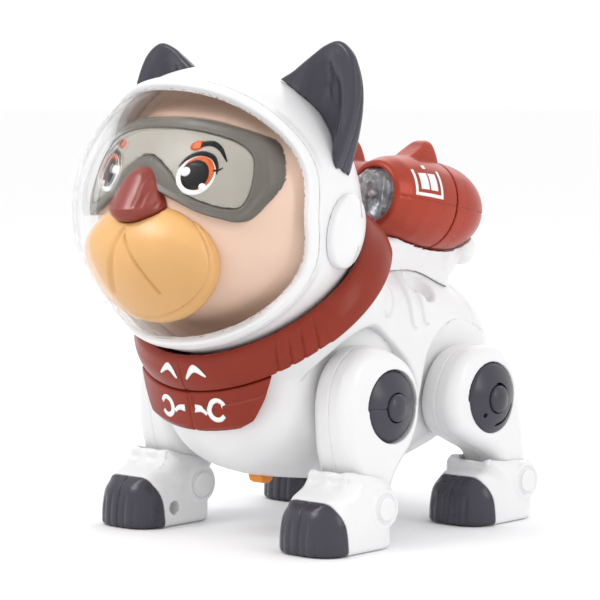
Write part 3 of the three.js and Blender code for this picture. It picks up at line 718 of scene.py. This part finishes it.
def smoothed(values):
    fine = np.interp(BODY_Y, SECTION_Y, values)
    for _ in range(60):
        fine[1:-1] = (fine[:-2] + 2 * fine[1:-1] + fine[2:]) / 4
    return fine


BODY_MID = smoothed(SECTION_Z)
BODY_W = np.sqrt(most(smoothed(SECTION_W**2), 0.5))
BODY_H = np.sqrt(most(smoothed(SECTION_H**2), 0.5))


def trunk(x, y, z):
    mid = np.interp(y, BODY_Y, BODY_MID)
    width = np.interp(y, BODY_Y, BODY_W)
    height = np.interp(y, BODY_Y, BODY_H)
    u, v = x / width, (z - mid) / height
    scaled = hyp(u, v)
    slope = hyp(u / width, v / height) / most(scaled, 1e-3)
    round_part = least((scaled - 1) / most(slope, 1e-2), 60)
    return most(round_part, SECTION_Y[0] + 0.6 - y, y - SECTION_Y[-1] + 0.6)


def body_skin(x, y, z):
    radius, height, _ = neck_frame(x, y, z)
    cone = most(radius - (46 + 15 * (height + 92) / 38), np.abs(height + 72) - 19)
    hump = ellipsoid(x, y, z, (0, 44, 92), (48, 52, 36.5))
    shape = blend(blend(trunk(x, y, z), hump, 6), cone, 10)
    low = height + 54.4
    r = hyp(*from_head(x, y, z))
    return most(shape, low, R + 1.4 - r)


BIB = [
    (-44, -54), (44, -54), (37.5, -61.5), (29.5, -69), (22.5, -71.8), (-22.5, -71.8), (-29.5, -69),
    (-37.5, -61.5)]


def bib_field(x, y, z):
    radius, height, angle = neck_frame(x, y, z)
    arc = angle * ARC_R
    edge = outline(BIB, arc, height)
    flare = 0.46 * most(-54 - height, 0)
    fold = 0.9 * ramp(height, -60.4, -59.6) * ramp(arc, 1, 3)
    top = (radius - (65.6 + flare - 2.0 * ramp(height, -68, -72) - fold)) * 0.85
    plate = meet(edge, top, 0.8)
    plate = plate + 0.5 * bump(arc, 0.5) * ramp(top, -2, -1)
    plate = most(plate, 60.5 - radius, height + 54.1)
    return most(plate, -(body_skin(x, y, z) - 0.25))


single("chest_plate", bib_field, *around_head([-50, -45, -110], [50, 12, -55]), 0.7, "body",
       "red_brown_plastic")


MARK_START_R = 86  # the search for the collar's skin starts this far from the neck axis
MARK_DEPTHS = np.arange(0, 36, 0.5)
MARK_LIFT = 0.03


def on_surface(field, start):
    """Lays marks on a field's surface: start(u, v) gives points near it and the way out."""
    def onto(u, v, lift):
        points, outward = start(u, v)
        inside = np.stack([field(*(points - outward * depth).T) < 0 for depth in MARK_DEPTHS])
        first = np.argmax(inside, axis=0)
        first = np.where(inside.any(0), first, int(np.median(first[inside.any(0)])))
        far, near = MARK_DEPTHS[first], MARK_DEPTHS[most(first - 1, 0)]
        for _ in range(10):
            middle = (far + near) / 2
            within = field(*(points - outward * middle[:, None]).T) < 0
            far, near = np.where(within, middle, far), np.where(within, near, middle)
        return points + outward * (MARK_LIFT + lift - near)[:, None]
    return onto


def near_collar(u, v):
    angle = u / ARC_R
    outward = DOWN_FRONT * np.cos(angle)[:, None] + np.array([1.0, 0, 0]) * np.sin(angle)[:, None]
    return HEAD + NECK * v[:, None] + outward * MARK_START_R, outward


LEAF = smooth_line([
    (14, 104), (16, 111), (20.5, 117), (26, 117.5), (27.5, 113), (24, 106), (18.5, 101.5)], True)
STRIPS = [smooth_line(points) for points in (
    [(33, 97), (35, 109), (38, 120), (41, 119), (39.5, 108), (37, 96)],
    [(41, 98), (42.5, 108), (45, 116), (48, 114), (46.5, 106), (44.5, 97)])]


def recess(x, y, z):
    """Room beside the body for both left legs."""
    rooms = []
    for hip, front, back in ((FRONT_HIP, -45, 30), (REAR_HIP, -32, 40)):
        dy, dz = y - hip[1], z - hip[2]
        rooms += [hyp(dy, dz) - 36, most(front - dy, dy - back, dz)]
    return most(least(*rooms), 43.6 - x)


def body_field(x, y, z):
    side = np.abs(x)
    skin = body_skin(x, y, z)
    skin = carve(skin, recess(side, y, z), 2.2)
    high = ramp(z, 92, 98)
    leaf = outline(LEAF, y, z)
    skin = skin + 0.9 * bump(leaf, 0.9) * high - 0.4 * ramp(-leaf, 0.2, 1.4) * high
    for strip in STRIPS:
        inside = outline(strip, y, z)
        skin = skin - 1.5 * ramp(-inside, -0.6, 0.9) * high
    scoop = ellipsoid(side, y, z, (38.5, 52, 118), (11, 9, 12))
    skin = carve(skin, scoop, 1.6)
    crease = line_distance([(84, 96), (87, 104), (86, 112)], y, z)
    skin = skin + 0.4 * bump(crease, 0.8)
    door = most(np.abs(x) - 19, np.abs(y - 27) - 31)
    opening_below = most(door, z - 45)
    slot = most(np.abs(x) - 4.8, np.abs(y + 19.5) - 7.3, z - 40)
    hollow = skin + WALL + 4.0 * ramp(y, 80, 108) + 4.0 * ramp(-y, 40, 58)
    shell = most(skin, -hollow)
    shell = most(shell, -least(opening_below, slot))
    for hip in (FRONT_HIP, REAR_HIP):
        shell = most(shell, HOLE_R - from_axle(y, z, hip))
    return most(shell, -1.6 - x)


pair("body_shell", body_field, [-3, -69, 22], [62, 116, 147], 1.05, ("body", "body"), "white_plastic",
     seam=True)


def door_field(x, y, z):
    skin = body_skin(x, y, z)
    plate = most(skin, -(skin + WALL))
    edge = most(np.abs(x) - 18.6, np.abs(y - 27) - 30.6)
    plate = meet(plate, edge, 0.5)
    screw = hyp(x, y - 50) - 3.0
    plate = carve(plate, most(screw, z - 25.5), 0.4)
    for at in (3, 6, 9):
        plate = plate + 0.5 * bump(y - at, 0.7) * (np.abs(x) < 8)
    return most(plate, z - 40)


single("battery_door", door_field, [-20, -5, 20], [20, 60, 34], 0.7, "body", "white_plastic")


def knob_field(x, y, z):
    dy, dz = y + 21.5, z - 27
    drum = np.where(dz < 0, hyp(dy, dz * 1.25) - 4.5, np.abs(dy) - 4.5)
    grip = 0.35 * np.cos(y * 2 * math.pi / 1.6) * ramp(-dz, 0, 2)
    return meet(meet(drum + grip, np.abs(x) - 4.2, 0.8), z - 33, 0.5)


single("power_switch_knob", knob_field, [-5, -27, 22], [5, -16, 34], 0.32, "power_switch", "amber_plastic")

# ------------------------ legs and paws
FRONT_LEG = smooth_line([
    (-14, 91.5), (-27, 87.5), (-35.5, 78), (-38.8, 64), (-36.8, 47), (-32.2, 32), (-29.5, 20), (-26, 10),
    (-17, 6.5), (-12, 9.5), (-8, 20), (-2, 32), (9, 44), (15.5, 56), (15.5, 70), (7, 83)])
REAR_LEG = smooth_line([
    (67, 86), (53, 82.5), (43.5, 72), (40, 58), (45.5, 46), (57.5, 39.5), (70.2, 33.4), (75, 27), (78, 14),
    (86, 8), (94, 12), (98, 26), (96.5, 42), (94, 58), (90.5, 72), (81, 83)])
FRONT_PAW = smooth_line([
    (-56, -22), (-59.4, -8), (-60, 3), (-59.4, 11), (-57, 19), (-51, 24.6), (-43, 28), (-39.6, 31.5),
    (-39.4, 34.5), (-36.6, 36.6), (-27, 36), (-17, 33), (-11, 28.5), (-8, 21), (-8.5, 12), (-8.5, 0),
    (-10, -22)])
REAR_PAW = smooth_line([
    (55, -22), (51.4, -8), (51, 3), (51.8, 11), (54.5, 18.6), (60.5, 23.6), (65, 25), (66.4, 26.4),
    (66.8, 29), (69.6, 31), (84, 31.4), (94, 30), (100, 27.5), (102, 20.5), (102, 11), (101.6, 0),
    (100, -22)])


HUB_SEAT_X, HUB_BACK_X, HUB_END_X = 63.5, 64.2, 73.5
KNUCKLE_R, KNUCKLE_HALF, KNUCKLE_PLAY, LEG_PLAY = 14.5, 9.5, 0.7, 0.6
BOSS_R, BOSS_HALF, BOSS_GROOVE_R = 9.0, 18.4, 6.6


def leg_middle(y):
    """The front legs stand a little wider than the rear ones."""
    return np.where(y < 25, 57.0, 55.2)


def leg_blank(y, z, x, shape):
    half = 11.4 + 1.2 * ramp(z, 62, 40)
    swell = np.abs(x - leg_middle(y)) - half
    return meet(outline(shape, y, z), swell, 7.0)


def turned_about(y, z, ankle, angle):
    c, s = math.cos(angle), math.sin(angle)
    dy, dz = y - ankle[1], z - ankle[2]
    return ankle[1] + c * dy - s * dz, ankle[2] + s * dy + c * dz


def leg_field(hip, ankle, shape):
    def field(x, y, z):
        leg = leg_blank(y, z, x, shape)
        dz = z - hip[2]
        beside = hyp(y - hip[1], dz)
        # The hub's seat: the upper half is a little wider than the lower one.
        seat = most(beside - (17.5 - 0.9 * (dz < 0)), HUB_SEAT_X - x)
        leg = carve(leg, seat, 0.5)
        leg = most(leg, LEG_HOLE_R - beside - 100 * (x > 61.6))
        leg = leg + 0.35 * bump(x - leg_middle(y), 0.45)
        # Below the cuff only a rounded knuckle goes into the paw.
        near = from_axle(y, z, ankle)
        knuckle = most(near - KNUCKLE_R, np.abs(x - leg_middle(y)) - KNUCKLE_HALF)
        upper = most(leg, ankle[2] + 7 - z)
        leg = blend(upper, most(knuckle, leg), 1.5)
        return most(leg, LEG_HOLE_R - near)
    return field


def paw_blank(x, y, z, shape, middle_x, front, ankle):
    across = x - middle_x
    half = 17.9 - 1.4 * ramp(z, 21, 29) - 1.0 * ramp(z, 29, 35)
    inside = outline(shape, y, z)
    # Two soft flutes stand on the front of the cuff.
    flute = 0.7 * np.cos(across * 2 * math.pi / 12.0 + math.pi)
    flute = flute * ramp(z, 27, 30) * ramp(z, 37, 34) * ramp(y, front + 33, front + 25)
    radius = 13.5 - 6.5 * ramp(z, 20, 27)
    body = meet(inside + flute * (np.abs(across) < 12), np.abs(across) - half, radius)
    boss_distance = from_axle(y, z, ankle)
    boss = most(boss_distance - BOSS_R, np.abs(across) - BOSS_HALF)
    body = blend(body, meet(boss, np.abs(across) - BOSS_HALF, 1.5), 2.0)
    return meet(body, -z, 2.4)


def paw_room(x, y, z, shape, ankle):
    """What the leg sweeps through as it turns about the ankle."""
    turned = [turned_about(y, z, ankle, share * SWING) for share in (-1.12, -0.5, 0.0, 0.5, 1.12)]
    swept = least(*[leg_blank(ty, tz, x, shape) for ty, tz in turned])
    above = most(swept - LEG_PLAY, ankle[2] + 5 - z)
    knuckle = most(from_axle(y, z, ankle) - KNUCKLE_R, np.abs(x - leg_middle(y)) - KNUCKLE_HALF)
    return least(above, knuckle - KNUCKLE_PLAY)


TOE_DEPTH, TOE_HEIGHT = 15.0, 29.0


def toe_plane(y, z, front):
    return TOE_DEPTH * (hyp(most(y - front + 1, 0) / TOE_DEPTH, z / TOE_HEIGHT) - 1)


def paw_field(shape, leg_shape, middle_x, front, ankle):
    def field(x, y, z):
        paw = paw_blank(x, y, z, shape, middle_x, front, ankle)
        paw = meet(paw, 0.3 - toe_plane(y, z, front), 0.4)
        paw = carve(paw, paw_room(x, y, z, leg_shape, ankle), 0.8)
        across = np.abs(x - middle_x)
        near = from_axle(y, z, ankle)
        # A groove around the ankle's boss, a slit down the heel and a screw hole on the inner side.
        ring = np.abs(near - BOSS_GROOVE_R)
        paw = paw + 0.9 * bump(ring, 0.6) * ramp(across, 14, 16)
        heel = ramp(y, ankle[1] + 7, ankle[1] + 9)
        paw = paw + 0.6 * bump(x - middle_x, 0.6) * heel
        hole = hyp(y - (front + 20.5), z - 9)
        paw = most(paw, -most(hole - 3.1, x - (middle_x - 12)))
        return most(paw, HOLE_R - near)
    return field


def toe_field(shape, middle_x, front, ankle):
    def field(x, y, z):
        toe = paw_blank(x, y, z, shape, middle_x, front, ankle) - 0.35
        across = x - middle_x
        groove = 0.7 * bump(across, 0.6)
        flutes = 0.45 * bump(np.abs(across) - 4.6, 1.1) * ramp(z, 18, 13)
        flutes = flutes + 0.45 * bump(np.abs(across) - 9.6, 1.1) * ramp(z, 16, 11)
        forward = ramp(y, front + 8, front + 3)
        toe = toe + (groove + flutes) * most(forward, 0.75)
        toe = meet(toe, toe_plane(y, z, front), 0.5)
        return meet(toe, -z, 1.2)
    return field


def disc_hub_field(hip, rear):
    def field(x, y, z):
        dy, dz = y - hip[1], z - hip[2]
        beside = hyp(dy, dz)
        radius = 17.1 - (0.0 if rear else 0.9) * ramp(dz, 0.3, -0.3)
        top = x - (71.6 - 4.6 * np.clip(beside / 17, 0, 1) ** 2.0)
        disc = meet(beside - radius, top, 1.5)
        if rear:
            hole = hyp(dy + 8.3, dz + 7.2) - 1.0
            turn = np.arctan2(dz, dy)
            arc = most(np.abs(beside - 12.6) - 0.6, np.abs(turn + 0.95) - 0.62)
            crescent = most(np.abs(beside - 7.3) - 0.5, np.abs(turn - 0.75) - 0.95)
            disc = most(disc, -most(least(hole, arc, crescent), 66.8 - x))
        else:
            line = bump(dz, 0.35) * (dy < 0)
            disc = disc + 0.5 * line
        disc = carve(disc, beside - 6.9, 0.3)
        return most(disc, HUB_BACK_X - x)
    return field


def cap_field(hip):
    def field(x, y, z):
        beside = from_axle(y, z, hip)
        return most(meet(beside - 6.5, x - (73.6 - 1.8 * (beside / 6.5) ** 2), 0.8), HUB_BACK_X - x)
    return field


def pin_field(ankle, middle_x):
    def field(x, y, z):
        near = from_axle(y, z, ankle)
        across = np.abs(x - middle_x)
        bar = most(near - 3.0, across - 18.6)
        head = meet(near - 5.6, across - 19.2, 0.9)
        return blend(bar, most(head, 17.2 - across), 0.4)
    return field


for end, hip, ankle, leg_shape, paw_shape, middle_x, front in (
        ("f", FRONT_HIP, FRONT_ANKLE, FRONT_LEG, FRONT_PAW, 57.8, -59.6),
        ("r", REAR_HIP, REAR_ANKLE, REAR_LEG, REAR_PAW, 54.5, 51.4)):
    tags = (end + "l", end + "r")
    leg_bodies = ["leg_" + tag for tag in tags]
    paw_bodies = ["paw_" + tag for tag in tags]
    low_y, high_y = leg_shape[:, 0].min() - 1, leg_shape[:, 0].max() + 1
    pair("leg_shell", leg_field(hip, ankle, leg_shape), [41, low_y, 3], [72, high_y, 93], 0.8, leg_bodies,
         "white_plastic", tags)
    pair("leg_disc", disc_hub_field(hip, end == "r"), *box_about(hip, HUB_SEAT_X, HUB_END_X, 18), 0.5,
         leg_bodies, "dark_grey_plastic", tags)
    pair("leg_button", cap_field(hip), *box_about(hip, HUB_SEAT_X, HUB_END_X, 7), 0.4, leg_bodies,
         "dark_grey_plastic", tags)
    paw_low = [middle_x - 20, paw_shape[:, 0].min() - 1, -1]
    paw_high = [middle_x + 20, paw_shape[:, 0].max() + 3, 42]
    pair("paw_shell", paw_field(paw_shape, leg_shape, middle_x, front, ankle), paw_low, paw_high, 0.7,
         paw_bodies, "white_plastic", tags)
    toe_high = [middle_x + 20, front + 16, 30]
    pair("toe_cap", toe_field(paw_shape, middle_x, front, ankle), paw_low, toe_high, 0.55, paw_bodies,
         "dark_grey_plastic", tags)
    pair("ankle_pin", pin_field(ankle, middle_x), *box_about(ankle, middle_x - 20, middle_x + 20, 7), 0.5,
         paw_bodies, "white_plastic", tags)

# ------------------------ rocket pack
FIN = smooth_line([
    (47.5, 173.5), (55, 176.4), (62, 180), (67, 182.9), (70.4, 182.6), (72, 178), (72, 168), (60, 164)])


def seam_line(up, outside):
    return 0.55 * bump(up, 0.45) * outside


def rocket_shell_field(x, y, z):
    radius, height, _, up = rocket_frame(x, y, z)
    skin = rocket_skin(x, y, z) + seam_line(up, radius > 10)
    shell = meet(skin, height - 38.6, 0.6)
    shell = most(meet(shell, -height, 1.6), 9 - height - 100 * (radius > 13.4))
    blade = meet(outline(FIN, y, z), ellipsoid(x, y, z, (ROCKET_X, 65, 168), (8.5, 21, 18)), 2.0)
    blade = most(blade, height - 38.4, 12 - radius)
    return least(shell, blade)


def rocket_cap_field(x, y, z):
    radius, height, _, up = rocket_frame(x, y, z)
    skin = rocket_skin(x, y, z) + seam_line(up, radius > 6)
    return meet(skin, 39.7 - height, 0.6)


pair("rocket_shell", rocket_shell_field, [0, 22, 124], [48, 84, 186], 0.75, ("body", "body"),
     "pearl_red_plastic")
pair("rocket_cap", rocket_cap_field, [0, 60, 120], [48, 114, 172], 0.75, ("body", "body"),
     "pearl_red_plastic")


def reflector_field(x, y, z):
    radius, height, across, up = rocket_frame(x, y, z)
    turn = np.arctan2(up, across)
    facet = radius * np.cos((turn + math.pi) % (math.pi / 4) - math.pi / 8)
    bowl = 3.2 + 4.6 * (1 - np.clip(facet / 12, 0, 1) ** 1.5)
    dish = most(radius - 12.8, height - 8.8, bowl - height)
    bulb = meet(radius - 2.4, np.abs(height - 3.5) - 4.2, 2.0)
    bars = most(np.abs(np.abs(across) - 5.2) - 0.5, np.abs(up) - 9.5, np.abs(height - 4.5) - 2.5)
    return least(dish, bulb, bars)


def lamp_field(x, y, z):
    radius, height, across, up = rocket_frame(x, y, z)
    turn = np.arctan2(up, across)
    facet = radius * np.cos((turn + math.pi) % (math.pi / 5) - math.pi / 10)
    dome = hyp(most(facet - 4, 0), (height - 4.5) * 0.82) - 9.0
    outside = most(dome, radius - 12.6, height - 3.0)
    return most(outside, -(outside + 1.3))


pair("lamp_reflector", reflector_field, [7, 26, 140], [36, 47, 174], 0.5, ("body", "body"), "chrome_plastic")
pair("lamp_lens", lamp_field, [7, 20, 140], [36, 40, 178], 0.55, ("body", "body"), "clear_plastic",
     look=LAMP_GLASS)

BRACKET = smooth_line([
    (31, 104), (30, 124), (33, 136), (42, 140), (56, 139), (70, 137), (82, 135.5), (88.5, 131), (88, 122),
    (85, 112), (84, 104)])


def bracket_field(x, y, z):
    side = np.abs(x)
    block = meet(outline(BRACKET, y, z), side - (32.5 - 3.0 * ramp(z, 138, 126)), 6.0)
    rib = outline(smooth_line([(78, 120), (83, 134), (89, 133), (87, 119)]), y, z)
    block = blend(block, meet(rib, side - 30, 2.0), 2.0)
    lobe = hyp(side - 27, y - 94, z - 129.5) - 7.8
    block = blend(block, lobe, 3.0)
    block = most(block, -(rocket_skin(side, y, z) - 0.6))
    block = most(block, -(body_skin(x, y, z) - 0.3))
    radius, height, _ = neck_frame(x, y, z)
    block = most(block, -most(radius - 66, np.abs(height + 45) - 14))
    return most(block, R + 2 - hyp(*from_head(x, y, z)))


single("jet_bracket", bracket_field, [-37, 26, 100], [37, 104, 145], 0.9, "body", "white_plastic")


ROCKET_ARC_R = 19.4


def on_rocket(sign):
    """u runs along the rocket and v is the angle around it, as a length, from the outer side upwards."""
    def onto(u, v, lift):
        radius = np.interp(u, ROCKET_FINE, ROCKET_PROFILE) + MARK_LIFT + lift
        angle = v / ROCKET_ARC_R
        across, up = radius * np.cos(angle), radius * np.sin(angle)
        points = ROCKET_AT + ROCKET_AXIS * u[:, None]
        points = points + np.array([1.0, 0, 0]) * across[:, None]
        points = points + np.array([0, -ROCKET_AXIS[2], ROCKET_AXIS[1]]) * up[:, None]
        return points * [sign, 1, 1]
    return onto


def box_line(u0, u1, v0, v1):
    """The outline of an upright oblong, with a point about every millimetre."""
    corners = [(u0, v0), (u1, v0), (u1, v1), (u0, v1), (u0, v0)]
    line = []
    for (ua, va), (ub, vb) in zip(corners[:-1], corners[1:]):
        count = max(1, round(math.hypot(ub - ua, vb - va)))
        line += [(ua + (ub - ua) * i / count, va + (vb - va) * i / count) for i in range(count)]
    return line


# Plain window marks on the rockets, and plain chevrons and rings on the collar and chest plate.
on_collar = on_surface(collar_field, near_collar)
on_bib = on_surface(bib_field, near_collar)
WINDOW = [box_line(9.5, 11, 1.5, 14.5), box_line(26, 27.5, 1.5, 14.5), box_line(11, 26, 1.5, 3.0),
          box_line(13, 18, 4.6, 12.5), box_line(19, 24, 4.6, 12.5), box_line(17.4, 19.6, 15.0, 17.2)]
for tag, sign in (("left", 1), ("right", -1)):
    for index, line in enumerate(WINDOW):
        patch(f"rocket_mark_{index}_{tag}", line, on_rocket(sign), "body", "white_plastic", PRINT_WHITE)
    chevron = stroke([(3.0, -46.2), (8.2, -41.6), (14.5, -45.4)], [0.8, 3.4, 0.6])
    patch(f"collar_mark_{tag}", flip(chevron, sign), on_collar, "body", "white_plastic", PRINT_WHITE)
    angles = np.radians(np.linspace(20, 320, 9))
    ring = stroke([(14.7 + 3.9 * math.cos(a), -61.6 + 3.9 * math.sin(a)) for a in angles], [1.8, 2.4, 1.8])
    patch(f"chest_ring_{tag}", flip(ring, sign), on_bib, "body", "white_plastic", PRINT_WHITE, 1.0)
    tick = stroke([(2.8, -60.6), (6.6, -60.8), (9.4, -62.8)], [3.0, 2.0, 1.4])
    patch(f"chest_tick_{tag}", flip(tick, sign), on_bib, "body", "white_plastic", PRINT_WHITE, 1.0, 0.14)

# ------------------------ CAD nodes that stay
for node in ("neck_post", "battery_pack", "gearbox_case", "drive_motor", "control_board", "speaker",
             "front_axle", "rear_axle"):
    kept = frame["nodes"][node]
    slot = next(part["material_slot"] for part in frame["record"]["subparts"] if part["node"] == node)
    kept.data.materials.clear()
    kept.data.materials.append(LOOKS[slot])

# ------------------------ floor, lights and camera
bpy.ops.mesh.primitive_plane_add(size=30, location=(0, 0, -0.0002))
floor = bpy.context.object
floor.name = "floor"
paper = bpy.data.materials.new("paper")
paper.use_nodes = True
paper.node_tree.nodes["Principled BSDF"].inputs["Base Color"].default_value = (0.93, 0.93, 0.94, 1)
paper.node_tree.nodes["Principled BSDF"].inputs["Roughness"].default_value = 0.9
floor.data.materials.append(paper)


def softbox(name, place, size, power):
    lamp = bpy.data.lights.new(name, "AREA")
    lamp.shape = "RECTANGLE"
    lamp.size, lamp.size_y = size
    lamp.energy = power
    holder = bpy.data.objects.new(name, lamp)
    holder.location = place
    aim = Vector((0, 0, 0.11)) - Vector(place)
    holder.rotation_euler = aim.to_track_quat("-Z", "Y").to_euler()
    bpy.context.scene.collection.objects.link(holder)


softbox("key", (-0.5, -1.0, 1.25), (0.6, 0.6), 7)
softbox("side", (1.5, 0.25, 0.8), (0.4, 1.0), 4)
softbox("back", (-0.6, 1.1, 1.0), (1.2, 0.8), 3)

world = bpy.data.worlds.new("studio")
bpy.context.scene.world = world
world.use_nodes = True
world.node_tree.nodes["Background"].inputs["Color"].default_value = (1.0, 1.0, 1.0, 1)
world.node_tree.nodes["Background"].inputs["Strength"].default_value = 1.05

bpy.context.scene.view_settings.view_transform = "Standard"

AZIMUTH, ELEVATION, DISTANCE = math.radians(42), math.radians(4.73), 1.262
TARGET = Vector((0, 0.006 + SHIFT[1] * MM, 0.1079))
camera_data = bpy.data.cameras.new("camera")
camera_data.lens = 158.8
camera_data.sensor_width = 36
camera_data.clip_start = 0.05
camera_data.clip_end = 20
camera = bpy.data.objects.new("camera", camera_data)
level = math.cos(ELEVATION)
away = Vector((math.sin(AZIMUTH) * level, -math.cos(AZIMUTH) * level, math.sin(ELEVATION)))
camera.location = TARGET + DISTANCE * away
camera.rotation_euler = (-away).to_track_quat("-Z", "Y").to_euler()
bpy.context.scene.collection.objects.link(camera)
bpy.context.scene.camera = camera
